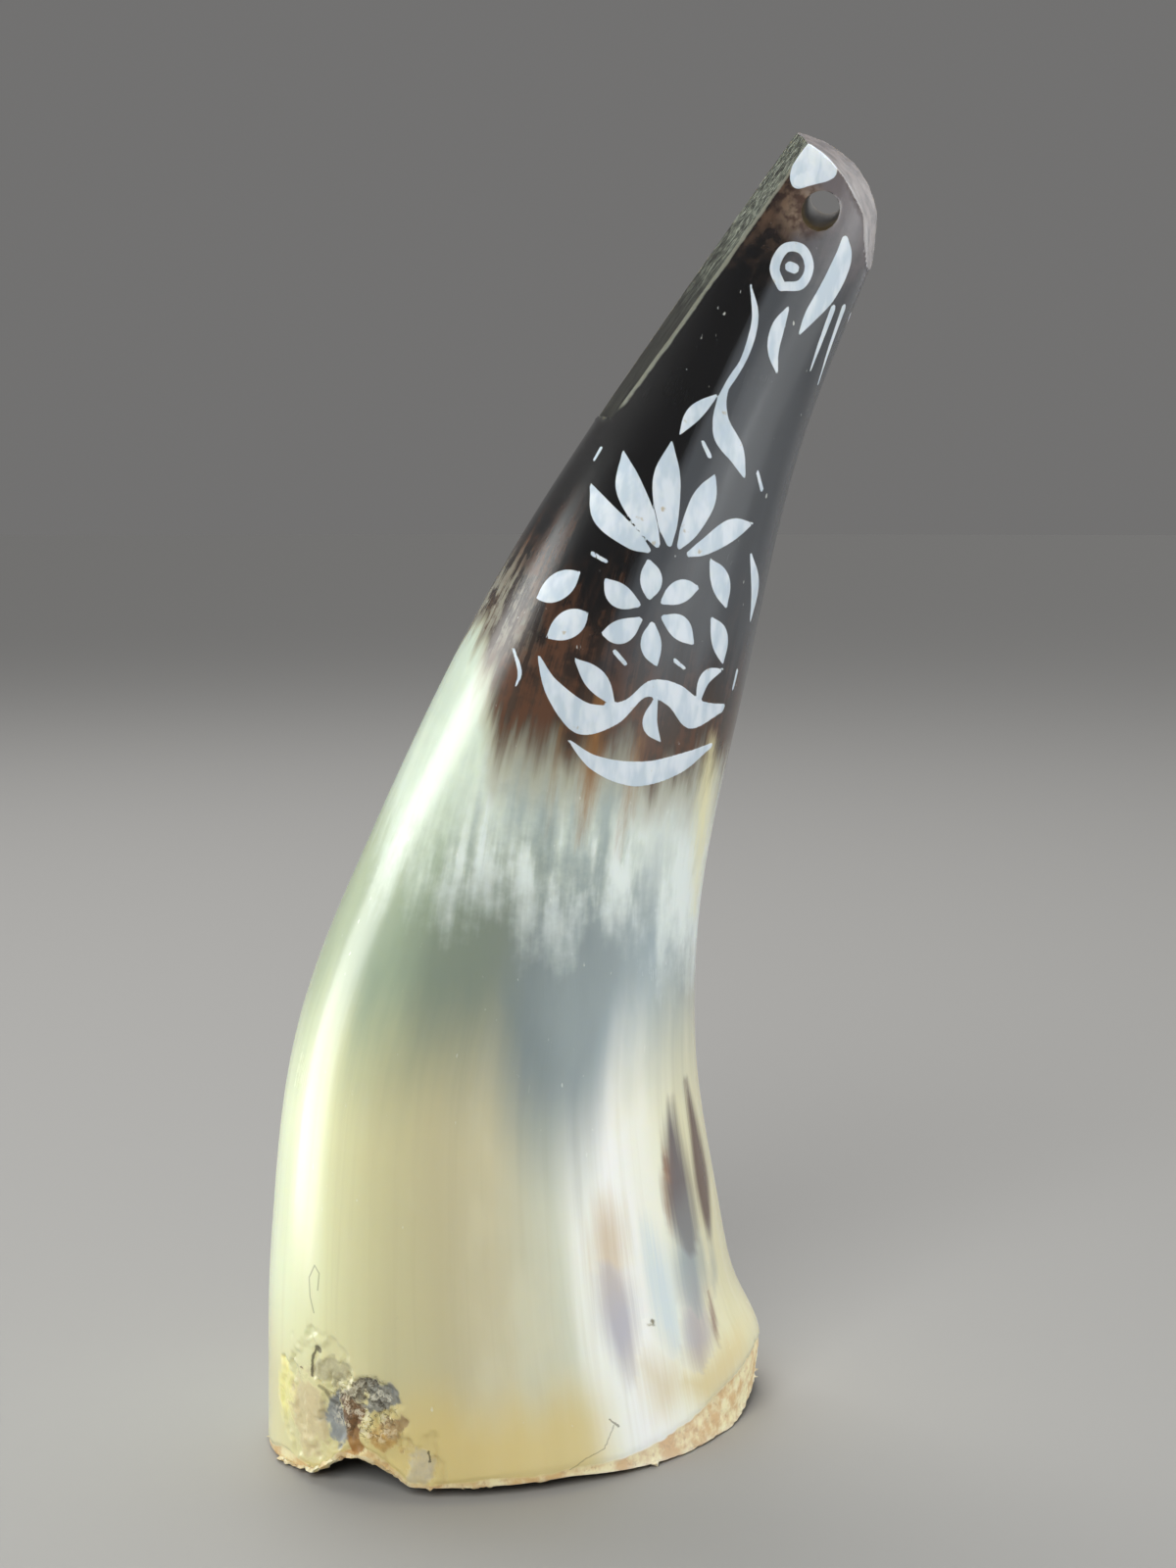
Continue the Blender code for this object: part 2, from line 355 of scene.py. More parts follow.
right, back, tilt, width, depth, turn = along(np.array([1.0]))[:, 0]
tip = Vector((right * HEIGHT - BASE_WIDTH / 2 * width * TIP_OFFSET,
              back * HEIGHT + BASE_DEPTH / 2 * width * depth * math.sqrt(1 - TIP_OFFSET ** 2), HEIGHT))


def cut_away(cutter, part):
    """Take a cutter out of the horn, whose cut faces become this part, and out of the scene."""
    choose(cutter, "polygons")
    bpy.ops.mesh.normals_make_consistent(inside=False)
    leave_edit()
    cut = horn.modifiers.new(cutter.name, "BOOLEAN")
    cut.operation = "DIFFERENCE"
    cut.solver = "EXACT"
    cut.object = cutter
    cut.material_mode = "TRANSFER"
    cutter.data.materials.append(bpy.data.materials[part])
    bpy.context.view_layer.objects.active = horn
    bpy.ops.object.modifier_apply(modifier=cut.name)
    bpy.data.objects.remove(cutter)


def new_grid(name, across, upwards):
    return new_piece(name, bpy.ops.mesh.primitive_grid_add, size=1,
                     x_subdivisions=across, y_subdivisions=upwards)


def thicken(grid, reach):
    """Draw a grid out along a vector into a closed block."""
    choose(grid, "polygons")
    bpy.ops.mesh.extrude_region_move(TRANSFORM_OT_translate={"value": tuple(reach)})
    leave_edit()


# Flat side: its saw left long shallow grooves, and tore the fibres near the tip.
facet_out = Vector((-math.cos(FACET_LEAN) * math.cos(FACET_TURN), -math.sin(FACET_TURN),
                    math.sin(FACET_LEAN) * math.cos(FACET_TURN)))
facet_place = Matrix.Translation(tip) @ facet_out.to_track_quat("Z", "Y").to_matrix().to_4x4()
saw = new_grid("saw", round(FACET_SIZE[0] / FACET_STEP), round(FACET_SIZE[1] / FACET_STEP))
flat = coordinates(saw.data) * (FACET_SIZE[0], FACET_SIZE[1], 1)
flat_mm = flat / MM
groove = abs(rough(flat_mm, (0.9, 0.05, 0), 2.0)) + 0.5 * abs(rough(flat_mm, (2.2, 0.16, 0), 8.0))
torn = np.clip(rough(flat_mm, (0.8, 0.45, 0), 5.0), 0, 1) * ease(flat_mm[:, 1], -22, 0)
flat[:, 2] = -MM * (LEAST_CUT_MM + SAW_GROOVE_MM * groove + SAW_TEAR_MM * torn)
put_back(saw.data, np.array([facet_place @ Vector(place) for place in flat]))
thicken(saw, facet_out * HEIGHT)
cut_away(saw, "sawn_side")

# Rounded end: its outline from the front, carried back along a slant.
slant = Vector((CROWN_SLANT, 1, CROWN_SLANT / 2))


def seen_along_slant(point):
    return point - slant * point.y


crown_top = seen_along_slant(tip)
crown_side = on_horn(CROWN_FOOT, 0)
crown_foot = seen_along_slant(crown_side)
crown_corner = seen_along_slant(Vector((crown_side.x, crown_side.y, CROWN_CORNER * HEIGHT)))
chord = crown_corner - crown_top
chord_out = Vector((-chord.z, 0, chord.x)).normalized()
crown_line = [crown_foot - Vector((0, 0, 5 * MM)), crown_foot]
crown_line += [crown_corner - chord * s + chord_out * CROWN_RISE * 4 * s * (1 - s)
               for s in np.linspace(0, 1, CROWN_CUTS)]
crown_line += [crown_top - Vector((4 * MM * i, 0, 0)) for i in range(1, 4)]
crown_depths = np.linspace(-CLEARANCE, CLEARANCE, FILE_CUTS)
file_grid = new_grid("file", len(crown_line) - 1, len(crown_depths) - 1)
spots = coordinates(file_grid.data)
steps = np.rint((spots[:, :2] + 0.5) * (len(crown_line) - 1, len(crown_depths) - 1)).astype(int)
line = np.array([tuple(point) for point in crown_line])
filed = line[steps[:, 0]] + np.outer(crown_depths[steps[:, 1]], slant)
scrape = np.clip(rough(filed / MM, (0.5, 0.5, 0.5), 4.0), 0, 1)
scrape = scrape + 0.4 * abs(rough(filed / MM, (1.6, 0.5, 1.6), 9.0))
filed -= np.outer(MM * (LEAST_CUT_MM + FILE_SCRAPE_MM * scrape), (0.85, 0, 0.53))
put_back(file_grid.data, filed)
thicken(file_grid, (60 * MM, 0, 60 * MM))
cut_away(file_grid, "filed_end")

# Cord hole: drilled straight through, its edges worn round where a cord ran.
hole_share = 1 - HOLE_BELOW_TIP / HEIGHT
hole_right, hole_back = along(np.array([hole_share]))[:2, 0]
hole_middle = Vector((hole_right * HEIGHT + HOLE_OFFSET, hole_back * HEIGHT, hole_share * HEIGHT))
hole_axis = Vector((math.sin(HOLE_SWING) * math.cos(HOLE_RISE), math.cos(HOLE_SWING) * math.cos(HOLE_RISE),
                    math.sin(HOLE_RISE)))
near = horn.ray_cast(hole_middle - hole_axis * CLEARANCE, hole_axis)[1]
far = horn.ray_cast(hole_middle + hole_axis * CLEARANCE, -hole_axis)[1]
near_at, far_at = (near - hole_middle).dot(hole_axis), (far - hole_middle).dot(hole_axis)
depths = [-CLEARANCE] + [near_at + d * MM for d in (-0.6, -0.2, 0.1, 0.35, 0.7, 1.2, 2)]
depths += [far_at - d * MM for d in (2, 1.2, 0.7, 0.35, 0.1, -0.2, -0.6)] + [CLEARANCE]


def drill_radius(depth):
    edge = min(depth - near_at, far_at - depth)
    return HOLE_DIAMETER / 2 + HOLE_WEAR * (1 - float(ease(edge, -0.5 * MM, 1.1 * MM)))


drill = new_piece("drill", bpy.ops.mesh.primitive_circle_add, vertices=HOLE_SIDES,
                  radius=drill_radius(depths[0]))
edit_all()
bpy.ops.mesh.edge_face_add()
for below, above in zip(depths, depths[1:]):
    draw_up(above - below, drill_radius(above) / drill_radius(below))
leave_edit()
hole_place = Matrix.Translation(hole_middle) @ hole_axis.to_track_quat("Z", "Y").to_matrix().to_4x4()
bored = coordinates(drill.data) + (0, 0, depths[0])
put_back(drill.data, np.array([hole_place @ Vector(place) for place in bored]))
cut_away(drill, "bore")

# Wear: the sawn and filed edges are rubbed soft.
HEAD_FROM = 100 * MM
CRISP = math.radians(30)


def take_in_hand(piece):
    bpy.ops.object.select_all(action="DESELECT")
    piece.select_set(True)
    bpy.context.view_layer.objects.active = piece


take_in_hand(horn)
choose(horn, "vertices")
bpy.ops.mesh.remove_doubles(threshold=MM / 50)
bpy.ops.mesh.select_all(action="DESELECT")
bpy.ops.mesh.select_mode(type="EDGE")
bpy.ops.mesh.edges_select_sharp(sharpness=CRISP)
bpy.ops.mesh.select_mode(type="VERT")
leave_edit()
crisp = read(horn.data.vertices, "select", kind=bool)
choose(horn, "vertices", crisp & (coordinates(horn.data)[:, 2] > HEAD_FROM))
bpy.ops.mesh.vertices_smooth(factor=0.5, repeat=2)
leave_edit()

places = coordinates(horn.data)
box_low, box_high = (np.array(corner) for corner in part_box("horn"))
to_frame = (box_low + box_high) / 2 - (places.min(axis=0) + places.max(axis=0)) / 2
to_frame[2] = 0


def straighten(points):
    """Where points of the horn lay on the blank, as shares of its width, depth and height."""
    x, y, z = points.T
    share = z / HEIGHT
    for _ in range(14):
        right, back, tilt, width, depth, turn = along(share)
        tilt = np.radians(tilt)
        out = (x - right * HEIGHT) / np.cos(tilt)
        share = np.clip((z + out * np.sin(tilt)) / HEIGHT, 0, FORM[-1, 0])
    across = out / (BASE_WIDTH / 2 * width)
    deep = (y - back * HEIGHT) / (BASE_DEPTH / 2 * width * depth)
    turn = np.radians(turn)
    return np.stack([across, (deep - across * np.sin(turn)) / np.cos(turn), share], 1)


grain = straighten(places)
degrees = np.degrees(np.arctan2(grain[:, 1], grain[:, 0]))
part_of_face = read(horn.data.polygons, "material_index", kind=np.int32)
corner_part = np.repeat(part_of_face, read(horn.data.polygons, "loop_total", kind=np.int32))
corner_vertex = read(horn.data.loops, "vertex_index", kind=np.int32)


def touches(part):
    """The vertices of this part's faces."""
    found = np.zeros(len(horn.data.vertices), dtype=bool)
    found[corner_vertex[corner_part == PARTS.index(part)]] = True
    return found


skin, inner = touches("skin"), touches("hollow")
cut = touches("sawn_side") | touches("filed_end") | touches("bore")
facet_gap = (places - np.array(tip)) @ np.array(facet_out)
from_axis = places - np.array(hole_middle)
from_axis = from_axis - np.outer(from_axis @ np.array(hole_axis), hole_axis)
hole_gap = np.linalg.norm(from_axis, axis=1) - HOLE_DIAMETER / 2
places = places + to_frame
horn.data.update()
front = (grain[:, 1] < 0.1) & skin

# Surface: hand-polished, so never quite even. The sawn end has broken away at front left, where layers
# have come off and dirt has filled pits, and thin flakes stand along the rest of it.
POLISH_MM = 0.07
HOLLOW_MM = 0.22
PIT_MM = 0.70
PIT_GRIT_MM = 0.22
CRACK_MM = 0.32
PEEL_MM = 0.22
PEEL_TORN_MM = 0.35
PEEL_HEIGHT_MM = 9
normals = read(horn.data.vertices, "normal", 3)
depth_mm = POLISH_MM * (1 + rough(grain, (3, 3, 7), 1.0)) * skin
x_mm, z_mm = places[:, 0] / MM, places[:, 2] / MM
wander = rough(places / MM, 0.55, 20.0)
ripple = rough(places / MM, 1.7, 31.0)


def blot(x, z, width, height, lean=0.0, ragged=0.25):
    """From 1 in the middle of a mark on the front to 0 at its ragged outline and below 0 outside."""
    turn = math.radians(lean)
    across = (x_mm - x) * math.cos(turn) + (z_mm - z) * math.sin(turn)
    upwards = (z_mm - z) * math.cos(turn) - (x_mm - x) * math.sin(turn)
    round_it = np.sqrt((across / width) ** 2 + (upwards / height) ** 2)
    return np.where(front, 1 - round_it + ragged * wander + 0.5 * ragged * ripple, -1.0)


FLAKES = (  # middle x and z, half width, half height, lean, depth, all in millimetres but the lean
    (-28.6, 10.2, 5.0, 8.6, 8, 0.28), (-23.6, 7.6, 6.4, 4.0, -22, 0.22), (-33.0, 8.0, 1.6, 6.4, 2, 0.34),
    (-16.4, 4.8, 1.5, 3.4, -14, 0.24), (-22.4, 11.2, 2.6, 3.1, 12, 0.34), (-28.0, 8.2, 1.5, 4.2, 4, 0.38),
    (-27.4, 13.6, 2.3, 2.4, 30, 0.24), (-19.8, 5.2, 2.2, 2.6, -20, 0.22), (-15.0, 3.4, 1.0, 2.2, 10, 0.24),
    (-21.6, 8.8, 1.6, 1.2, -30, 0.26), (-24.4, 13.0, 1.2, 0.8, 10, 0.26),
)
for x, z, wide, high, lean, deep in FLAKES:
    depth_mm += deep * ease(blot(x, z, wide, high, lean), 0, 0.16)
pitted = ease(np.maximum(blot(-22.2, 11.0, 3.4, 3.8, 10), blot(-27.0, 12.8, 2.8, 1.9, 30)), 0, 0.4)
depth_mm += pitted * PIT_MM * np.clip(rough(places / MM, 1.25, 7.0) + 0.25, 0, 1)
depth_mm += pitted * PIT_GRIT_MM * rough(places / MM, 2.6, 41.0)
CRACKS = (((-29.6, 16.4), (-30.2, 14.7), (-30.2, 12.9)), ((-29.5, 12.4), (-28.1, 11.0), (-26.8, 9.8)),
          ((-25.6, 11.0), (-24.8, 9.0), (-25.8, 6.2)), ((-23.6, 12.8), (-22.2, 11.8), (-21.4, 10.2)),
          ((-20.2, 10.4), (-19.4, 8.2), (-19.6, 6.2)))


def line_gap(points):
    """Distance in millimetres on the front from a thin line."""
    gap = np.full(len(places), 99.0)
    here = np.stack([x_mm, z_mm], axis=1)
    for one, two in zip(np.array(points), np.array(points)[1:]):
        s = np.clip((here - one) @ (two - one) / ((two - one) @ (two - one)), 0, 1)
        gap = np.minimum(gap, np.hypot(*(here - one - np.outer(s, two - one)).T))
    return np.where(front, gap, 99.0)


for crack in CRACKS:
    depth_mm += CRACK_MM * (1 - ease(line_gap(crack) + 0.15 * ripple, 0.05, 0.4))
edge_mm = z_mm - rim_height(degrees) / MM
peeling = skin & (edge_mm < PEEL_HEIGHT_MM)
lip = swell(degrees, (-18, 62))
ledge_wander = rough(np.stack([degrees, edge_mm, 0 * degrees], 1), (0.06, 0.1, 0), 3.0)
ledge = edge_mm - 1.1 - 6.0 * lip - 1.1 * ledge_wander
depth_mm += peeling * PEEL_MM * (1 - ease(ledge, -0.25, 0.25))
depth_mm += peeling * lip * PEEL_TORN_MM * np.clip(ripple + 0.2, 0, 1) * (1 - ease(ledge, -1, 1.5))
depth_mm = np.where(inner & ~skin, HOLLOW_MM * (1 + rough(grain, (9, 9, 16), 5.0)), depth_mm)
depth_mm = np.where(cut, 0, depth_mm)
places = places - normals * (depth_mm * MM)[:, None]
places = np.clip(places, box_low, box_high)
put_back(horn.data, places)

# Enamel: white strokes laid on the black end with a soft brush, first the head and then rows of
# plain ornament below it. Each stroke is a path on the front with its half width, in millimetres.
NIB_TURN = math.radians(62)
NIB_EDGE = 0.35
THINNEST = 0.05
BRUSH_REACH = 1.6
BRUSH_STEP = 0.16
UNPAINTED = -1.5
here_mm = places / MM
surface = BVHTree.FromPolygons([tuple(place) for place in places],
                               [tuple(face.vertices) for face in horn.data.polygons])
paint = np.full(len(places), UNPAINTED)
layers = np.zeros(len(places))


def smooth_path(points, step):
    """Points at even steps on a smooth curve through those given, with what else each carries."""
    points = np.array(points, dtype=float)
    if len(points) == 2:
        points = np.array([points[0], points.mean(axis=0), points[1]])
    before, after = 2 * points[0] - points[1], 2 * points[-1] - points[-2]
    padded = np.vstack([before, points, after])
    found = []
    for a, b, c, d in zip(padded, padded[1:], padded[2:], padded[3:]):
        count = max(int(np.hypot(*(c - b)[:2]) / step), 2)
        s = np.linspace(0, 1, count, endpoint=False)[:, None]
        found.append(0.5 * (2 * b + (c - a) * s + (2 * a - 5 * b + 4 * c - d) * s ** 2
                            + (3 * b - a - 3 * c + d) * s ** 3))
    return np.vstack(found + [points[-1:]])


def on_front(x, z):
    """The horn's front surface behind a point of the front view, or None off its outline."""
    return surface.ray_cast(Vector((x * MM, -1, z * MM)), Vector((0, 1, 0)))[0]


def brush(points, flat_nib):
    """Lay one stroke: (x, z, half width) along its path, drawn with a round or a flat brush."""
    lean = np.array([math.cos(NIB_TURN), math.sin(NIB_TURN)]) * flat_nib
    laid = np.full(len(places), UNPAINTED)
    for x, z, half in smooth_path(points, BRUSH_STEP):
        half = max(half, THINNEST)
        flat_part = lean * max(half - NIB_EDGE, 0)
        ends = [on_front(x + sign * flat_part[0], z + sign * flat_part[1]) for sign in (-1, 1)]
        if None in ends:
            continue
        one, two = (np.array(end) / MM for end in ends)
        close = np.flatnonzero((abs(here_mm - (one + two) / 2) < half + BRUSH_REACH).all(axis=1))
        span = two - one
        gap = here_mm[close] - one
        s = np.clip(gap @ span / max(span @ span, 1e-9), 0, 1)
        reach = (min(half, NIB_EDGE) if flat_nib else half) - np.linalg.norm(gap - np.outer(s, span), axis=1)
        laid[close] = np.maximum(laid[close], reach)
    layers[:] += ease(laid, -0.15, 0.15)
    paint[:] = np.maximum(paint, laid)


STROKES = (
    # Head: a pale patch at the tip, a plain ring and dot, two leaves and a fan of fine hairs
    ((28.7, 157.0, 0.6), (28.2, 155.4, 1.4), (27.6, 153.8, 1.6), (27.1, 152.9, 1.0)),
    ((28.7, 157.0, 0.6), (29.6, 155.4, 1.3), (30.6, 154.3, 0.9), (30.2, 153.7, 0.9), (27.3, 152.9, 0.9)),
    ((25.0, 140.6, 0.55), (24.2, 142.8, 0.6), (25.4, 145.0, 0.6), (27.4, 144.9, 0.6), (28.3, 142.9, 0.6),
     (27.3, 140.9, 0.6), (25.0, 140.6, 0.55)),
    ((26.0, 142.9, 0.62), (26.5, 142.7, 0.62)),
    ((32.6, 146.2, 0.5), (32.4, 143.8, 1.35), (30.8, 140.4, 1.45), (28.6, 137.4, 0.9), (27.2, 135.2, 0.15)),
    ((25.8, 138.2, 0.2), (24.6, 135.8, 0.85), (24.1, 133.2, 0.75), (24.6, 130.6, 0.12)),
    ((31.4, 138.4, 0.45), (30.0, 134.6, 0.36), (28.8, 131.2, 0.16)),
    ((32.8, 138.6, 0.45), (31.2, 133.9, 0.36), (29.9, 129.6, 0.16)),
    ((33.9, 138.0, 0.34), (32.5, 133.0, 0.30), (31.1, 128.4, 0.16)),
    # Neck: one long plume with a small leaf
    ((21.4, 141.0, 0.1), (21.9, 136.8, 0.5), (20.6, 132.2, 0.9), (18.2, 128.2, 1.1), (17.9, 124.4, 1.5),
     (19.9, 121.2, 1.2), (20.8, 118.6, 0.15)),
    ((17.4, 128.0, 0.2), (14.9, 126.0, 0.95), (13.2, 123.6, 0.15)),
    # First row: a fan of five leaves
    ((2.8, 117.8, 0.15), (4.3, 114.4, 1.45), (7.4, 111.6, 1.2), (9.4, 110.2, 0.35)),
    ((6.6, 121.6, 0.15), (7.2, 117.6, 1.6), (9.2, 113.4, 1.25), (10.5, 110.8, 0.35)),
    ((12.2, 122.6, 0.15), (11.6, 118.4, 1.6), (11.7, 113.8, 1.25), (11.9, 110.9, 0.35)),
    ((17.2, 118.8, 0.15), (16.0, 116.0, 1.5), (14.4, 112.8, 1.2), (13.1, 110.6, 0.35)),
    ((21.9, 113.2, 0.15), (19.2, 112.4, 1.35), (16.2, 110.6, 1.0), (14.2, 109.7, 0.35)),
    # Second row: a rosette of six petals between lozenges
    ((9.6, 104.9, 0.4), (9.8, 106.8, 1.35), (9.5, 108.9, 0.3)),
    ((11.2, 104.3, 0.4), (13.2, 105.4, 1.4), (15.2, 105.8, 0.3)),
    ((11.3, 102.4, 0.4), (13.2, 101.2, 1.4), (14.7, 99.4, 0.3)),
    ((9.9, 101.6, 0.4), (9.8, 99.3, 1.35), (10.4, 97.1, 0.3)),
    ((8.4, 102.2, 0.4), (6.3, 100.9, 1.4), (4.3, 100.7, 0.3)),
    ((8.2, 104.0, 0.4), (6.1, 105.0, 1.4), (4.6, 106.7, 0.3)),
    ((-3.4, 104.6, 0.2), (-1.0, 106.0, 1.85), (1.5, 107.6, 0.2)),
    ((-2.2, 100.2, 0.2), (0.2, 101.7, 1.7), (2.4, 103.0, 0.2)),
    ((16.8, 109.0, 0.2), (18.1, 106.3, 1.45), (18.8, 103.4, 0.2)),
    ((17.0, 102.2, 0.2), (18.1, 99.6, 1.45), (18.5, 96.8, 0.2)),
    ((21.8, 109.6, 0.2), (22.5, 105.6, 0.95), (22.0, 101.6, 0.2)),
    # Third row: a wavy stem, broad where it dips, with a leaf on each side of its bends
    ((-3.2, 98.0, 0.15), (-1.6, 94.4, 1.1), (2.0, 91.0, 1.9), (6.2, 91.6, 1.6), (9.4, 94.2, 1.1),
     (12.4, 93.4, 1.4), (15.2, 90.8, 1.8), (18.6, 91.2, 0.6)),
    ((5.4, 92.6, 0.3), (3.4, 95.4, 1.3), (1.0, 97.8, 0.15)),
    ((10.4, 93.0, 0.3), (9.7, 90.2, 1.05), (10.9, 88.0, 0.15)),
    ((15.4, 92.0, 0.3), (16.3, 95.0, 0.95), (18.6, 96.0, 0.15)),
    # Fourth row: one long stroke
    ((0.2, 88.6, 0.12), (3.4, 85.8, 0.9), (8.4, 84.3, 1.6), (13.6, 85.1, 1.5), (17.2, 86.8, 0.35)),
    # Small ticks between
    ((3.0, 109.8, 0.3), (4.6, 108.9, 0.25)),
    ((3.2, 120.6, 0.25), (4.0, 122.0, 0.3)),
    ((22.4, 119.2, 0.25), (23.0, 117.2, 0.3)),
    ((15.8, 122.6, 0.25), (16.6, 121.0, 0.3)),
    ((-6.2, 98.8, 0.2), (-5.4, 96.2, 0.3), (-5.8, 94.6, 0.15)),
    ((20.4, 95.6, 0.3), (19.9, 93.4, 0.25)),
    ((12.6, 97.4, 0.3), (13.8, 96.4, 0.25)),
    ((5.6, 98.6, 0.3), (6.8, 97.2, 0.25)),
)
FLAT_BRUSHED = (9, 27, 31)
for number, stroke in enumerate(STROKES):
    brush(stroke, number in FLAT_BRUSHED)

# Natural marks: colour that lies in the horn in long streaks, and stains and dirt at the breaks, among them
# one painted shadow beside a flake.
stain = np.zeros((len(places), 4))
grime = np.zeros((len(places), 4))


def tone(red, green, blue):
    """A colour from its 0 to 255 screen values, as linear light."""
    shares = (red / 255, green / 255, blue / 255)
    return tuple(c / 12.92 if c <= 0.04045 else ((c + 0.055) / 1.055) ** 2.4 for c in shares)


def mark(layer, strength, colour):
    """Blend a colour into a layer, whose alpha keeps the strongest mark."""
    strength = np.clip(strength, 0, 1)
    total = np.maximum(layer[:, 3], strength)
    share = np.where(strength > layer[:, 3], 1.0, strength / np.maximum(total, 1e-6) * 0.5)[:, None]
    layer[:, :3] = layer[:, :3] * (1 - share) + np.array(tone(*colour)) * share
    layer[:, 3] = total


def streak(points, softness):
    """From 1 inside a tapering streak on the front to 0 outside, over a soft edge in millimetres."""
    value = np.full(len(places), -99.0)
    for x, z, half in smooth_path(points, 0.5):
        value = np.maximum(value, half - np.hypot(x_mm - x, (z_mm - z) * 0.6))
    return np.where(front, np.clip(value / softness, -1, 1) * 0.5 + 0.5, 0)


STREAKS = (  # path with half widths, softness, share and colour
    (((12.6, 43.0, 0.1), (12.9, 38.0, 0.9), (13.6, 32.0, 1.5), (15.0, 25.0, 1.2), (15.6, 22.0, 0.4)),
     1.3, 1.0, (90, 80, 88)),
    (((14.2, 29.0, 0.6), (15.0, 22.0, 1.9), (16.2, 16.0, 1.0)), 1.8, 0.9, (150, 160, 164)),
    (((11.9, 38.0, 0.1), (12.0, 34.5, 0.5), (12.1, 31.5, 0.3), (12.4, 28.0, 0.1)), 0.7, 0.9, (124, 74, 52)),
    (((14.6, 45.0, 0.1), (15.8, 38.0, 0.55), (16.9, 31.0, 0.8), (17.9, 24.0, 0.2)), 0.6, 1.0, (74, 38, 30)),
    (((17.7, 25.0, 0.1), (18.3, 20.0, 0.5), (18.4, 17.0, 0.1)), 0.8, 0.7, (146, 152, 156)),
    (((17.4, 18.6, 0.05), (18.2, 14.5, 0.3), (18.9, 11.0, 0.05)), 0.45, 1.0, (118, 66, 46)),
    (((14.6, 19.0, 0.6), (15.8, 14.0, 2.2), (16.6, 9.5, 1.0)), 2.0, 0.8, (178, 170, 172)),
    (((5.0, 25.0, 1.5), (6.0, 20.5, 2.0), (7.0, 16.0, 1.4), (7.8, 12.0, 0.4)), 1.9, 0.9, (186, 184, 194)),
    (((4.2, 33.0, 0.6), (4.8, 29.5, 1.7), (5.4, 26.0, 1.6), (5.6, 24.0, 0.6)), 2.6, 0.9, (216, 198, 172)),
    (((9.6, 29.0, 0.5), (11.4, 22.0, 1.7), (13.2, 14.0, 1.2)), 2.0, 0.8, (208, 222, 228)),
    (((9.2, 13.0, 0.8), (12.0, 9.0, 2.0)), 2.4, 0.85, (224, 212, 184)),
    (((14.5, 9.0, 0.6), (17.5, 7.5, 1.4), (21.0, 9.5, 1.2)), 2.0, 0.95, (222, 206, 158)),
    (((4.0, 93.0, 0.6), (3.0, 86.0, 1.0), (1.5, 77.0, 0.2)), 1.8, 0.75, (156, 112, 64)),
    (((8.4, 88.0, 0.4), (7.4, 82.0, 0.6), (6.0, 75.0, 0.1)), 1.5, 0.65, (158, 118, 74)),
    (((-0.6, 90.0, 0.2), (-1.6, 82.0, 0.3), (-2.0, 78.0, 0.1)), 1.4, 0.6, (150, 120, 82)),
    (((17.4, 87.0, 0.3), (16.6, 79.0, 1.1), (15.6, 66.0, 0.2)), 1.5, 0.8, (238, 232, 186)),
)
for points, softness, share, colour in STREAKS:
    mark(stain, streak(points, softness) * share, colour)
BLOTS = (  # middle x and z, half width, half height, lean, raggedness, share and colour
    (-31.0, 7.8, 3.4, 6.8, 4, 0.3, 0.75, (214, 199, 158)),
    (-28.0, 14.0, 3.6, 2.4, 14, 0.4, 0.65, (188, 182, 148)),
    # The brown mark to the right of the blue-grey flake is a painted shadow.
    (-25.6, 9.0, 1.7, 3.6, 12, 0.5, 1.0, (116, 70, 38)),
    (-27.7, 8.4, 1.9, 4.4, 8, 0.45, 1.0, (142, 148, 154)),
    (-25.2, 6.0, 1.1, 2.4, 4, 0.5, 0.9, (166, 120, 66)),
    (-22.2, 11.8, 2.6, 2.6, 12, 0.7, 1.0, (136, 138, 136)),
    (-25.0, 12.2, 2.6, 1.8, 0, 0.8, 0.9, (150, 144, 126)),
    (-20.4, 8.6, 1.9, 2.6, 24, 0.7, 0.75, (176, 150, 110)),
    (-21.6, 6.6, 2.4, 2.2, 0, 0.5, 0.60, (190, 148, 82)),
    (-17.0, 4.2, 1.9, 3.4, -8, 0.4, 0.6, (206, 196, 168)),
    (-31.9, 13.4, 0.28, 0.28, 0, 0.2, 0.9, (110, 92, 66)),
    (10.2, 17.4, 0.30, 0.62, -10, 0.2, 0.9, (130, 122, 92)),
    (9.7, 20.6, 0.16, 0.40, -10, 0.2, 0.7, (140, 134, 108)),
)
for x, z, wide, high, lean, ragged, share, colour in BLOTS:
    mark(grime, ease(blot(x, z, wide, high, lean, ragged), 0, 0.5) * share, colour)
yellow = ease(blot(-34.0, 9.4, 1.4, 4.6, 2, 0.3), 0, 0.5)

is_part = np.stack([part_of_face == number for number in range(len(PARTS))], 1).astype(float)
HOLDERS = {"FLOAT": "value", "FLOAT_VECTOR": "vector", "FLOAT_COLOR": "color"}
crest = ease(facet_gap / MM, -0.7, -0.15) * (places[:, 2] > HEAD_FROM) * skin
wear = np.stack([(1 - ease(ledge, -1.0, 0.6)) * skin, yellow, hole_gap / MM], 1)
for name, kind, domain, values in (
    ("grain", "FLOAT_VECTOR", "POINT", grain), ("wear", "FLOAT_VECTOR", "POINT", wear),
    ("below", "FLOAT_VECTOR", "FACE", is_part[:, (1, 2, 0)]),
    ("above", "FLOAT_VECTOR", "FACE", is_part[:, 3:]),
    ("paint", "FLOAT", "POINT", paint), ("layers", "FLOAT", "POINT", layers),
    ("crest", "FLOAT", "POINT", crest),
    ("stain", "FLOAT_COLOR", "POINT", stain), ("grime", "FLOAT_COLOR", "POINT", grime),
):
    layer = horn.data.attributes.new(name, kind, domain)
    layer.data.foreach_set(HOLDERS[kind], values.ravel())

take_in_hand(horn)
bpy.ops.object.shade_smooth_by_angle(angle=math.radians(42))


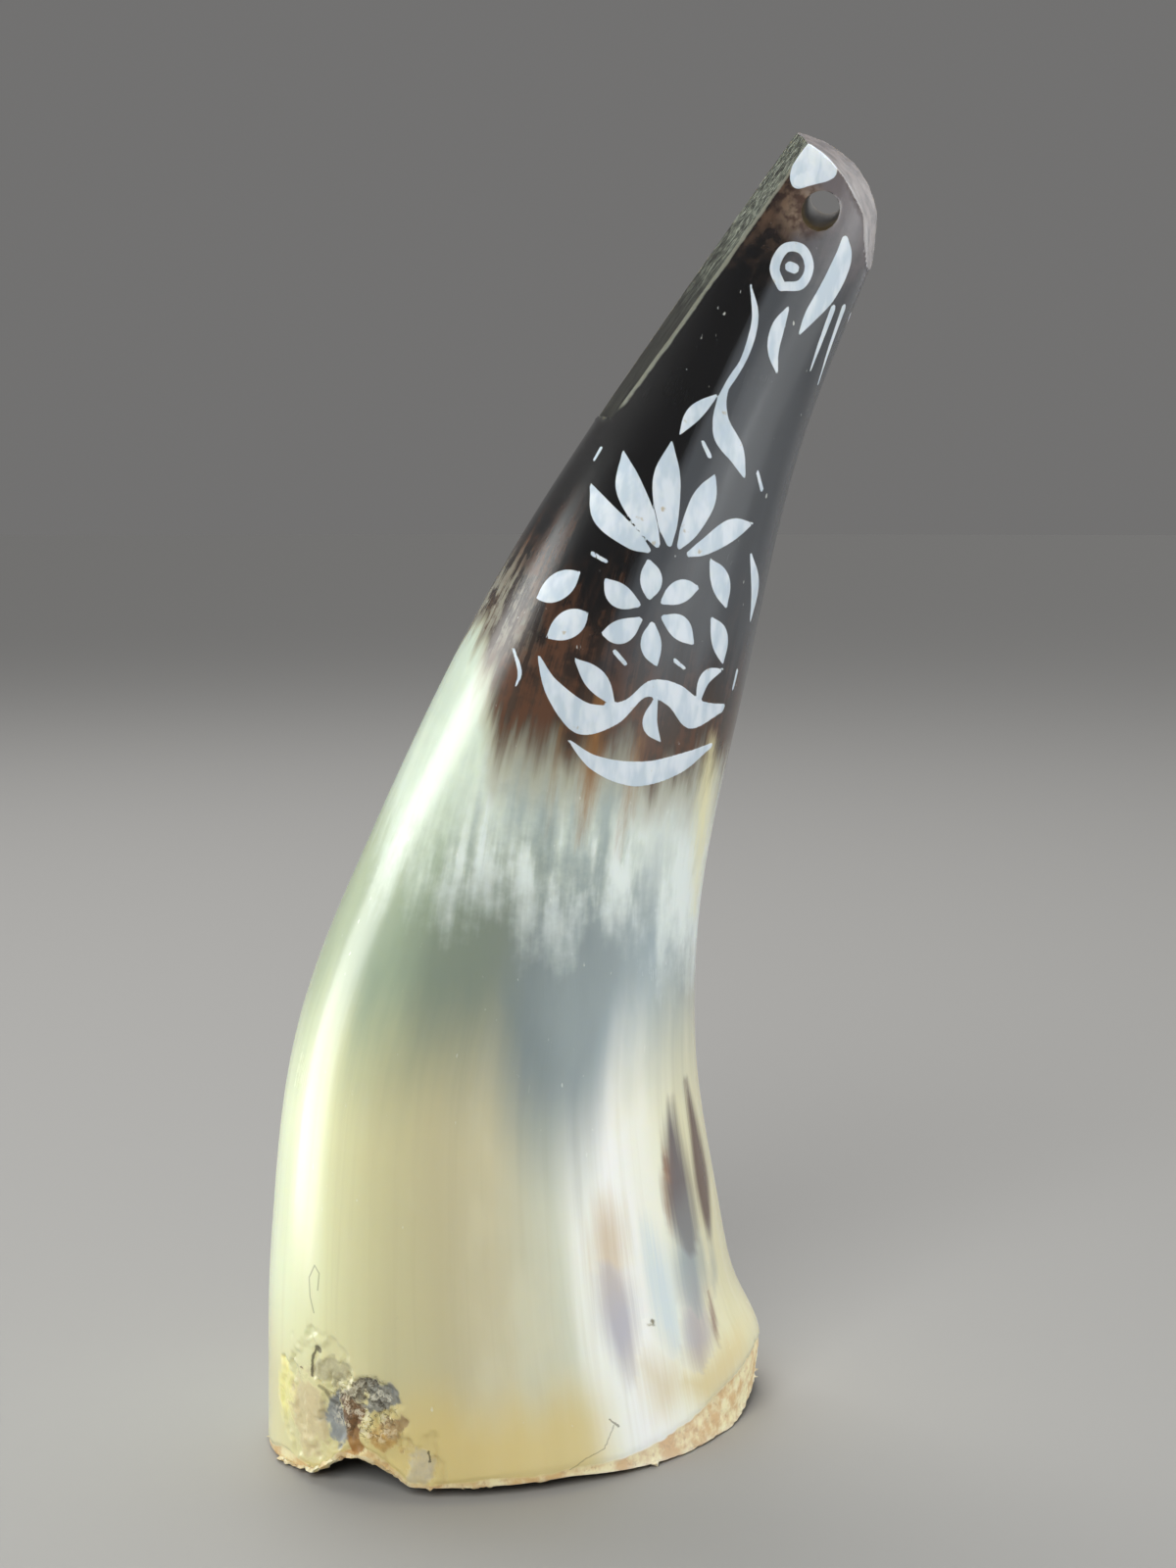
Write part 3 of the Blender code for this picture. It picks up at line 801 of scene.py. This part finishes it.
# Finish of the horn: polished keratin, pale and misty below, black above, with long fibres, under
# brushed white enamel; dull where it is sawn, filed, drilled or broken.
class Socket:
    """A node's output that does arithmetic with others and with numbers."""

    def __init__(self, tree, output):
        self.tree, self.output = tree, output

    def maths(self, operation, *others):
        return self.tree.node("ShaderNodeMath", {"operation": operation}, dict(enumerate((self,) + others)))

    def __add__(self, other): return self.maths("ADD", other)
    def __sub__(self, other): return self.maths("SUBTRACT", other)
    def __mul__(self, other): return self.maths("MULTIPLY", other)
    def __truediv__(self, other): return self.maths("DIVIDE", other)
    __radd__, __rmul__ = __add__, __mul__

    def __rsub__(self, other):
        return self.tree.node("ShaderNodeMath", {"operation": "SUBTRACT"}, {0: other, 1: self})

    def most(self, other): return self.maths("MAXIMUM", other)
    def least(self, other): return self.maths("MINIMUM", other)

    def sway(self, reach):
        """Noise as a push to either side, over this reach."""
        return (self - 0.5) * reach

    def step(self, start, end):
        """A smooth step from 0 at start to 1 at end."""
        return self.tree.node("ShaderNodeMapRange", {"interpolation_type": "SMOOTHSTEP"},
                              {"Value": self, "From Min": start, "From Max": end})


class Finish:
    """A material and its nodes. Three numbers at a colour socket are screen values, as for tone."""

    def __init__(self, name):
        self.material = bpy.data.materials.new(name)
        self.material.use_nodes = True
        self.nodes, self.links = self.material.node_tree.nodes, self.material.node_tree.links
        self.shader = self.nodes["Principled BSDF"]

    def node(self, kind, settings, inputs, output=None):
        """A new node's output. Its settings come first, then values or links for its sockets."""
        made = self.nodes.new(kind)
        for name, value in settings.items():
            if name == "stops":
                ramp = made.color_ramp
                ramp.elements.remove(ramp.elements[1])
                ramp.elements[0].position, ramp.elements[0].color = value[0][0], tone(*value[0][1]) + (1,)
                for place, colour in value[1:]:
                    ramp.elements.new(place).color = tone(*colour) + (1,)
            else:
                setattr(made, name, value)
        open_sockets = [socket for socket in made.inputs if socket.enabled]
        for key, value in inputs.items():
            self.feed(next(s for i, s in enumerate(open_sockets) if key in (i, s.name)), value)
        found = [socket for socket in made.outputs if socket.enabled and output in (None, socket.name)]
        return Socket(self, found[0])

    def feed(self, socket, value):
        if isinstance(value, Socket):
            self.links.new(value.output, socket)
        elif isinstance(value, tuple) and len(value) == 3 and socket.type == "RGBA":
            socket.default_value = tone(*value) + (1,)
        else:
            socket.default_value = value

    def dress(self, values):
        for name, value in values.items():
            self.feed(self.shader.inputs[name], value)

    def attribute(self, name, output):
        return self.node("ShaderNodeAttribute", {"attribute_name": name}, {}, output)

    def parts(self, vector):
        return [self.node("ShaderNodeSeparateXYZ", {}, {0: vector}, axis) for axis in "XYZ"]

    def clouds(self, vector, scale, detail=2.0, roughness=0.5):
        stretched = self.node("ShaderNodeVectorMath", {"operation": "MULTIPLY"}, {0: vector, 1: scale})
        return self.node("ShaderNodeTexNoise", {}, {"Vector": stretched, "Scale": 1.0, "Detail": detail,
                                                    "Roughness": roughness})

    def mix(self, share, one, two):
        return self.node("ShaderNodeMix", {"data_type": "RGBA"}, {"Factor": share, "A": one, "B": two})

    def over(self, colour, *coats):
        """A colour with coats laid over it in turn, each by its share."""
        for share, coat in coats:
            colour = self.mix(share, colour, coat)
        return colour

    def run(self, value, *stops):
        """A colour that passes through these stops as the value goes from 0 to 1."""
        return self.node("ShaderNodeValToRGB", {"stops": stops}, {0: value})

    def line(self, across, upwards, *points):
        """Distance from a line drawn through points."""
        gap = None
        for (x1, z1), (x2, z2) in zip(points, points[1:]):
            dx, dz = x2 - x1, z2 - z1
            share = (((across - x1) * dx + (upwards - z1) * dz) / (dx * dx + dz * dz)).most(0.0).least(1.0)
            off_x, off_z = across - x1 - share * dx, upwards - z1 - share * dz
            length = (off_x * off_x + off_z * off_z).maths("SQRT")
            gap = length if gap is None else gap.least(length)
        return gap


finish = Finish("painted horn")
clouds, mix, over = finish.clouds, finish.mix, finish.over
grown = finish.attribute("grain", "Vector")
across, deep, up = finish.parts(grown)
place = finish.node("ShaderNodeTexCoord", {}, {}, "Object")
x, z = (part * (1 / MM) for part in finish.parts(place)[::2])
sawn_end, inside = finish.parts(finish.attribute("below", "Vector"))[:2]
sawn, filed_share, bore = finish.parts(finish.attribute("above", "Vector"))
worn, yellowed, from_hole = finish.parts(finish.attribute("wear", "Vector"))
facing = deep.step(0.0, -0.2)
# Fibres run along the horn, and stand a little steeper than it where it bends
leant = finish.node("ShaderNodeCombineXYZ", {}, {0: across + (up - 0.36).most(0.0) * 1.7, 1: deep, 2: up})
broad = clouds(grown, (1.7, 1.7, 2.0), 2)
bands = clouds(leant, (6, 6, 1.6), 3, 0.5)
fibres = clouds(leant, (22, 22, 4), 3, 0.6)
hairs = clouds(leant, (80, 80, 11), 2, 0.6)
patches = clouds(leant, (3.6, 3.6, 8), 3, 0.5)
tongues = clouds(leant, (9, 9, 6), 3, 0.55)
mottle = clouds(place, (420, 420, 420), 3, 0.6)
crumb = clouds(place, (1300, 1300, 1300), 3, 0.65)

# Pale foot: greenish cream at the left edge, beige in the middle, near white to the right, and amber
# where the wall is thin above the sawn end
sideways = across * 0.5 + 0.5 + bands.sway(0.14) + broad.sway(0.10)
amber_front = (z + bands.sway(5) + broad.sway(6)).step(16, 6) * deep.step(-0.5, -0.8)
amber_front = amber_front * across.step(0.50, 0.28) * across.step(-0.80, -0.55)
amber_left = (z + bands.sway(8)).step(24, 8) * across.step(-0.40, -0.70) * deep.step(0.3, -0.3)
foot = over(
    finish.run(sideways, (0.0, (236, 246, 212)), (0.13, (228, 229, 183)), (0.25, (212, 207, 162)),
               (0.37, (203, 195, 156)), (0.50, (209, 202, 169)), (0.58, (208, 206, 180)),
               (0.645, (216, 219, 200)), (0.70, (250, 252, 242)), (0.77, (255, 255, 250)),
               (0.88, (242, 242, 222)), (1.0, (222, 216, 176))),
    ((fibres + bands.sway(0.6)).step(0.45, 0.80) * 0.16, (184, 174, 136)),
    (patches.step(0.50, 0.70) * 0.25, (238, 234, 204)),
    (amber_front * 0.7, (226, 202, 128)),
    (amber_left * 0.7, (224, 212, 156)))

# Misty band: grey-green to the left, grey-blue to the right, fading into the foot
sunk = across.step(-0.10, 0.28) * across.step(0.60, 0.42) * 11
mist = (z + sunk + bands.sway(12) + patches.sway(8)).step(40, 63)
mist_tone = finish.run(
    across * 0.5 + 0.5 + patches.sway(0.25), (0.0, (178, 190, 162)), (0.18, (152, 168, 146)),
    (0.31, (131, 145, 130)), (0.45, (128, 140, 130)), (0.58, (128, 141, 144)), (0.71, (144, 157, 160)),
    (0.85, (166, 181, 187)), (1.0, (158, 168, 168)))

# Pale streaky band above it, with ragged tongues hanging into the mist; at the left it reaches lower
# and is lighter, partly as a painted highlight
tongue = z + across * 10 + across.step(-0.2, -0.5) * 4 + tongues.sway(11) + patches.sway(18) + mottle.sway(6)
cloudy = patches * 0.6 + broad * 0.4 + mottle.sway(0.16)
streaky = over(
    mix((cloudy + tongues.sway(0.35)).step(0.36, 0.58), (170, 183, 180), (216, 226, 214)),
    ((cloudy + tongues.sway(0.6) - (z - 76) * 0.012).step(0.48, 0.62) * 0.7, (238, 247, 246)),
    # Lighter towards the left edge: a painted highlight.
    ((across + bands.sway(0.8)).step(-0.35, -0.7) * 0.7, (210, 224, 202)),
    ((across + tongues.sway(0.9)).step(0.25, 0.55) * 0.55, (232, 240, 236)))
pale = over(foot, (mist * 0.95, mist_tone), (tongue.step(65, 78), streaky))

# Dark end: its edge climbs to the left, brown first and then black, with russet clouds and a scaly
# left edge; the plane that faces right is painted grey, a painted reflection
# At the far left edge the pale horn reaches higher: pale horn, and partly a painted reflection.
climb = (x + patches.sway(6)).step(-8, -15) * 12 + across.step(-0.5, -0.8) * 6
dark_at = z - climb + (x - 3) * 0.22 + tongues.sway(9) + patches.sway(12) + fibres.sway(2)
russet = (mottle * 0.5 + fibres * 0.5 + tongues.sway(0.5)).step(0.44, 0.60)
russet = russet * dark_at.step(84, 90) * (dark_at + patches.sway(20)).step(112, 98)
scaly = (fibres * 0.6 + mottle * 0.4 + tongues.sway(0.3)).step(0.44, 0.58)
scaly = scaly * (x + mottle.sway(8)).step(-2, -8) * deep.step(0.2, -0.1)
scaly = scaly * (z + patches.sway(6)).step(96, 101) * (z + patches.sway(6)).step(113, 106)
# Painted reflection: the plane that faces right is painted grey, as if it mirrored a light.
right_plane_reflection = (across + fibres.sway(0.05)).step(-0.16, -0.02) * deep.step(0.45, -0.15) * dark_at.step(90, 106)
dark = over(
    pale,
    (dark_at.step(77, 86) * 0.7, (152, 144, 120)),
    (dark_at.step(83, 90) * 0.96, (64, 45, 34)),
    ((dark_at + fibres.sway(5)).step(88, 97) * 0.7, (40, 28, 23)),
    ((dark_at + fibres.sway(6)).step(93, 106), (8, 8, 10)),
    (russet * 0.6, (104, 68, 46)),
    (scaly * 0.8, (150, 150, 136)),
    (right_plane_reflection * 0.9, mix(broad.step(0.3, 0.7), (66, 69, 74), (80, 83, 88))))

# Tip: the black thins, grey and pinkish to the right and in brown and yellow clouds to the left and
# round the hole; fine nicks and dust catch the light
tip_share = (up + bands.sway(0.05) + mottle.sway(0.05)).step(0.875, 0.96)
head = over(
    mix(mottle.step(0.36, 0.62), (34, 26, 24), (112, 86, 68)),
    ((x + mottle.sway(7) - (z - 150) * 0.25).step(26, 30), (116, 108, 110)))
halo = (from_hole + mottle.sway(3.5) + (x - 27) * 0.5).step(2.4, 0.2)
nicked = clouds(place, (1500, 1500, 700), 1).step(0.75, 0.80) * mottle.step(0.50, 0.60)
grown_body = over(
    dark,
    (tip_share * 0.85, head),
    (halo * 0.7, mix(mottle.step(0.42, 0.62), (84, 62, 52), (158, 138, 116))),
    (nicked * 0.5, (236, 240, 234)))

# Streaks, worn and torn layers, dirt with a painted shadow among it and painted shade and highlights in its
# crumbs, and hair-thin cracks
stained, stain_share = finish.attribute("stain", "Color"), finish.attribute("stain", "Alpha")
broken = over(
    mix((mottle + bands.sway(0.5)).step(0.34, 0.66), (208, 168, 116), (240, 228, 184)),
    (crumb.step(0.54, 0.68) * 0.4, (168, 126, 90)))
worn_share = ((worn + mottle.sway(0.7)).step(0.4, 0.75) + sawn_end).least(1.0)
grime_and_shadow_tone, grime_and_shadow_share = finish.attribute("grime", "Color"), finish.attribute("grime", "Alpha")
dirt_and_shadow = (grime_and_shadow_share + mottle.sway(0.6) + crumb.sway(0.6)).step(0.15, 0.75)
shards = clouds(place, (520, 520, 520), 4, 0.65)
by_chip = (x + 23.6) * (x + 23.6) * 0.045 + (z - 10.2) * (z - 10.2) * 0.05
by_chip = (by_chip + mottle.sway(1.8)).step(1.0, 0.4) * facing
# Over the dirt, darker and paler crumbs near the chip: painted shade and painted highlights.
dirt_and_painted_shading = over(
    grime_and_shadow_tone,
    (crumb.step(0.48, 0.70) * (by_chip * 0.35 + 0.10), (62, 52, 40)),
    (crumb.step(0.50, 0.32) * (by_chip * 0.30 + 0.08), (236, 230, 210)))
HAIRLINES = (  # points, the distances where a line begins and is full, and how dark it is
    (CRACKS[0], 0.24, 0.08, 0.9),
    (((-29.5, 16.4), (-29.3, 16.2)), 0.5, 0.2, 0.9),
    (((-29.3, 11.9), (-28.5, 11.5), (-28.0, 10.6), (-26.9, 9.9)), 0.36, 0.06, 0.65),
    (((0.4, 2.4), (2.4, 3.4), (4.4, 4.0), (5.6, 6.6)), 0.12, 0.04, 0.45),
    (((5.0, 7.6), (6.2, 6.2)), 0.14, 0.05, 0.7),
    (((-16.0, 5.8), (-15.9, 4.7)), 0.18, 0.06, 0.9),
)
wavy_x, wavy_z = x + crumb.sway(0.5), z + mottle.sway(0.7)
thin = 0.0
for points, begins, full, share in HAIRLINES:
    thin = (finish.line(wavy_x, wavy_z, *points).step(begins, full) * share).most(thin)
curl = finish.line(x, z, (-29.9, 20.6), (-30.4, 22.4), (-30.5, 24.6), (-29.8, 26.2), (-29.2, 25.4),
                   (-29.4, 23.4))
body = over(
    grown_body,
    ((stain_share + fibres.sway(0.35) + hairs.sway(0.25)).step(0.12, 0.80) * 0.92, stained),
    (worn_share * 0.85, broken),
    (yellowed * 0.9, (250, 242, 168)),
    (dirt_and_shadow * 0.9, dirt_and_painted_shading),
    (by_chip * (shards - 0.5).maths("ABSOLUTE").step(0.026, 0.006) * 0.7, (78, 64, 46)),
    (by_chip * shards.step(0.535, 0.555) * shards.step(0.62, 0.59) * 0.5, (238, 232, 208)),
    (thin * facing * 0.85, (72, 62, 44)),
    (curl.step(0.12, 0.04) * facing * 0.5, (120, 122, 96)),
    (inside, mix((bands + mottle * 0.5).step(0.55, 1.0), (150, 124, 80), (98, 76, 48))))

# Sawn side, paler towards the tip and along its rubbed edge, partly as painted highlights; filed end and
# hole
saw_lines = clouds(grown, (46, 46, 14), 4, 0.7)
sawn_tone = over(
    mix(saw_lines.step(0.40, 0.66), (8, 8, 6), (50, 50, 44)),
    # Paler grey-green in the saw lines towards the tip: torn crumbs, and partly a painted highlight.
    ((z + mottle.sway(14)).step(136, 152) * saw_lines.step(0.50, 0.62) * 0.85, (128, 138, 122)),
    ((z + mottle.sway(16)).step(138, 150) * (saw_lines + crumb.sway(0.6)).step(0.50, 0.64) * 0.75,
     (164, 170, 154)))
# A light line along the sawn side's edge: a rubbed edge, and a painted highlight.
rubbed_edge_highlight = finish.attribute("crest", "Fac") * z.step(118, 132) * (1 - sawn) * (1 - filed_share)
body = over(
    body,
    (sawn, sawn_tone),
    ((rubbed_edge_highlight + mottle.sway(0.8)).step(0.5, 0.9) * 0.8, (138, 140, 128)),
    (filed_share, mix(mottle.step(0.35, 0.65), (92, 85, 86), (132, 122, 120))),
    (bore, mix(mottle, (96, 82, 52), (60, 46, 34))))

# Enamel: whiter where strokes lap, with a few yellowed specks
enamel = (finish.attribute("paint", "Fac") + mottle.sway(0.12)).step(-0.02, 0.07)
brushed = clouds(place, (700, 700, 240), 2)
white = over(
    mix(brushed.step(0.35, 0.65), (196, 210, 222), (222, 230, 238)),
    (finish.attribute("layers", "Fac").step(1.3, 1.9) * 0.5, (232, 238, 244)),
    (mottle.step(0.66, 0.74) * 0.7, (176, 158, 120)))
body = mix(enamel * 0.97, body, white)

dull = worn_share * 0.40 + dirt_and_shadow * 0.45 + inside * 0.35 + sawn * 0.75 + filed_share * 0.22 + bore * 0.3
shine = 0.20 + clouds(place, (90, 90, 90), 4, 0.6) * 0.10 + hairs.sway(0.05)
relief = (hairs * 0.2 + fibres * 0.3 + clouds(place, (1500, 1500, 1500), 2) * (0.12 + dull * 2.2)
          + enamel * 0.9 + saw_lines * sawn * 6)
finish.dress({
    "Base Color": body, "Roughness": (shine + enamel * 0.22 + dull).least(1.0),
    "Normal": finish.node("ShaderNodeBump", {}, {"Strength": 0.35, "Distance": 0.12 * MM, "Height": relief}),
    "Coat Weight": (1 - dull * 2).most(0.0) * 0.5, "Coat Roughness": 0.18, "IOR": 1.54,
    "Subsurface Weight": 0.35, "Subsurface Radius": (1.0, 0.8, 0.5), "Subsurface Scale": 2.5 * MM,
})
horn.data.materials.clear()
horn.data.materials.append(finish.material)
horn.data.polygons.foreach_set("material_index", np.zeros(len(part_of_face), dtype=np.int32))

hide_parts("horn")
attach(horn, "root")

# Studio: a plain pale floor, wide soft light from above, and panels at the horn's sides that light
# it alone: a tall window at its left, whose reflection runs up that edge, and two to the right.
BACKDROP = (0.168, 0.1658, 0.1636, 1)
FLOOR_RADIUS = 9
floor = new_piece("floor", bpy.ops.mesh.primitive_circle_add, vertices=96, radius=FLOOR_RADIUS,
                  fill_type="NGON")
floor_finish = Finish("pale floor")
floor_finish.dress({"Base Color": (0.46, 0.455, 0.445, 1), "Roughness": 0.7})
floor.data.materials.append(floor_finish.material)

beside_horn = bpy.data.collections.new("lit by the panels")
beside_horn.objects.link(horn)


def soft_light(name, place, towards, wide, high, watts, colour, panel=False, gloss=True):
    aim = (Vector(towards) - Vector(place)).to_track_quat("-Z", "Y").to_euler()
    bpy.ops.object.light_add(type="AREA", location=place, rotation=aim)
    light = bpy.context.object
    light.name = name
    light.data.shape = "RECTANGLE"
    light.data.size, light.data.size_y = wide, high
    light.data.energy = watts
    light.data.color = colour
    light.visible_camera = False
    light.visible_glossy = gloss
    if panel:
        light.light_linking.receiver_collection = beside_horn


GREENISH, BLUISH = (0.98, 1.0, 0.98), (0.96, 0.99, 1.0)
soft_light("window", (-0.172, 0.004, 0.122), (-0.01, 0.0, 0.13), 0.080, 0.243, 0.245, GREENISH, panel=True)
soft_light("sheet", (0.60, 0.12, 0.32), (0, 0, 0.08), 1.2, 0.56, 4.6, BLUISH, panel=True)
soft_light("right panel", (0.31, -0.17, 0.05), (0.01, -0.01, 0.07), 0.34, 0.30, 0.22, BLUISH, panel=True)
soft_light("front", (-0.22, -0.76, 0.62), (0, 0, 0.08), 0.5, 0.5, 5.9, (0.99, 1.0, 0.97), gloss=False)
soft_light("behind", (-0.25, 0.42, 0.85), (0, 0, 0.05), 0.6, 0.6, 3.6, (1.0, 0.99, 0.97))
bpy.ops.object.light_add(type="SUN", rotation=(math.radians(-28), math.radians(20), 0))
overhead = bpy.context.object
overhead.name = "overhead"
overhead.data.energy = 0.60
overhead.data.angle = math.radians(60)
world = bpy.data.worlds.new("studio")
world.use_nodes = True
world.node_tree.nodes["Background"].inputs["Color"].default_value = BACKDROP
world.node_tree.nodes["Background"].inputs["Strength"].default_value = 1.0
bpy.context.scene.world = world
bpy.context.scene.view_settings.view_transform = "Standard"
